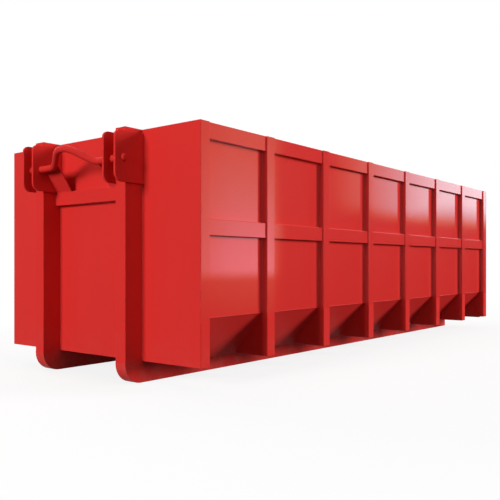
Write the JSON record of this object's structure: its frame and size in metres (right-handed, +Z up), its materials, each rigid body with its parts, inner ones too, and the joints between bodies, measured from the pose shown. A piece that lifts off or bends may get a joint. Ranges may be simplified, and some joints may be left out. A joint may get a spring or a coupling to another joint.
{
  "type": "roll-off dumpster",
  "caption": "Open-top steel roll-off dumpster with ribbed sloping sides, hook bail on front posts, floor runners, rear rollers and a side-hung rear door with lock lever.",
  "frame": {"origin": "on the ground, in the middle of the whole part's outline", "axes": "+X to the right of someone who looks at the bail, from behind it; +Y from the bail to the door; +Z up"},
  "size_m": [2.44, 6.6926, 2.01],
  "materials": {
    "rib_paint": "gloss",
    "sheet_paint": "gloss",
    "front_paint": "gloss",
    "lifting_paint": "gloss",
    "runner_paint": "gloss",
    "floor_paint": "gloss",
    "door_paint": "gloss",
    "gear_steel": "satin",
    "roller_steel": "worn"
  },
  "bodies": {
    "container": {"bail_ear_left_inner": "lifting_paint", "bail_ear_left_outer": "lifting_paint", "bail_ear_right_inner": "lifting_paint", "bail_ear_right_outer": "lifting_paint", "bail_gusset_left": "lifting_paint", "bail_gusset_right": "lifting_paint", "floor_crossmember_1": "runner_paint", "floor_crossmember_2": "runner_paint", "floor_crossmember_3": "runner_paint", "floor_crossmember_4": "runner_paint", "floor_crossmember_5": "runner_paint", "floor_crossmember_6": "runner_paint", "floor_plate": "floor_paint", "front_crossmember": "lifting_paint", "front_post_left": "lifting_paint", "front_post_right": "lifting_paint", "front_top_rail": "front_paint", "front_wall": "front_paint", "hinge_rod": "gear_steel", "hook_bail": "lifting_paint", "middle_rail_left": "rib_paint", "middle_rail_right": "rib_paint", "rear_post_left": "door_paint", "rear_post_right": "door_paint", "rear_sill": "runner_paint", "roller_axle_left": "gear_steel", "roller_axle_right": "gear_steel", "runner_left": "runner_paint", "runner_right": "runner_paint", "side_rib_left_1": "rib_paint", "side_rib_left_2": "rib_paint", "side_rib_left_3": "rib_paint", "side_rib_left_4": "rib_paint", "side_rib_left_5": "rib_paint", "side_rib_left_6": "rib_paint", "side_rib_left_7": "rib_paint", "side_rib_left_8": "rib_paint", "side_rib_right_1": "rib_paint", "side_rib_right_2": "rib_paint", "side_rib_right_3": "rib_paint", "side_rib_right_4": "rib_paint", "side_rib_right_5": "rib_paint", "side_rib_right_6": "rib_paint", "side_rib_right_7": "rib_paint", "side_rib_right_8": "rib_paint", "side_sheet_left": "sheet_paint", "side_sheet_right": "sheet_paint", "slope_sheet_left": "sheet_paint", "slope_sheet_right": "sheet_paint", "top_rail_left": "rib_paint", "top_rail_right": "rib_paint"},
    "door": {"door_frame": "door_paint", "door_sheet": "door_paint", "lever_cradle": "door_paint"},
    "lock": {"lock_shaft": "gear_steel", "lever_pin": "gear_steel"},
    "lever": {"lock_lever": "gear_steel"},
    "left_roller": {"roller_left": "roller_steel"},
    "right_roller": {"roller_right": "roller_steel"}
  },
  "joints": [
    {"name": "door_swing", "type": "hinge", "parent": "container", "child": "door", "pos_m": [-1.19, 3.3103, 1.158], "axis": [0, 0, 1], "range_deg": [0, 255]},
    {"name": "lock_turn", "type": "hinge", "parent": "container", "child": "lock", "pos_m": [1.152, 3.3153, 1.2205], "axis": [0, 0, -1], "range_deg": [0, 150]},
    {"name": "lever_lift", "type": "hinge", "parent": "lock", "child": "lever", "pos_m": [1.094, 3.3153, 1.2205], "axis": [0, 1, 0], "range_deg": [0, 35]},
    {"name": "left_roller_spin", "type": "hinge", "parent": "container", "child": "left_roller", "pos_m": [-0.4054, 3.1917, 0.072], "axis": [1, 0, 0], "continuous": true},
    {"name": "right_roller_spin", "type": "hinge", "parent": "container", "child": "right_roller", "pos_m": [0.4054, 3.1917, 0.072], "axis": [1, 0, 0], "continuous": true}
  ]
}
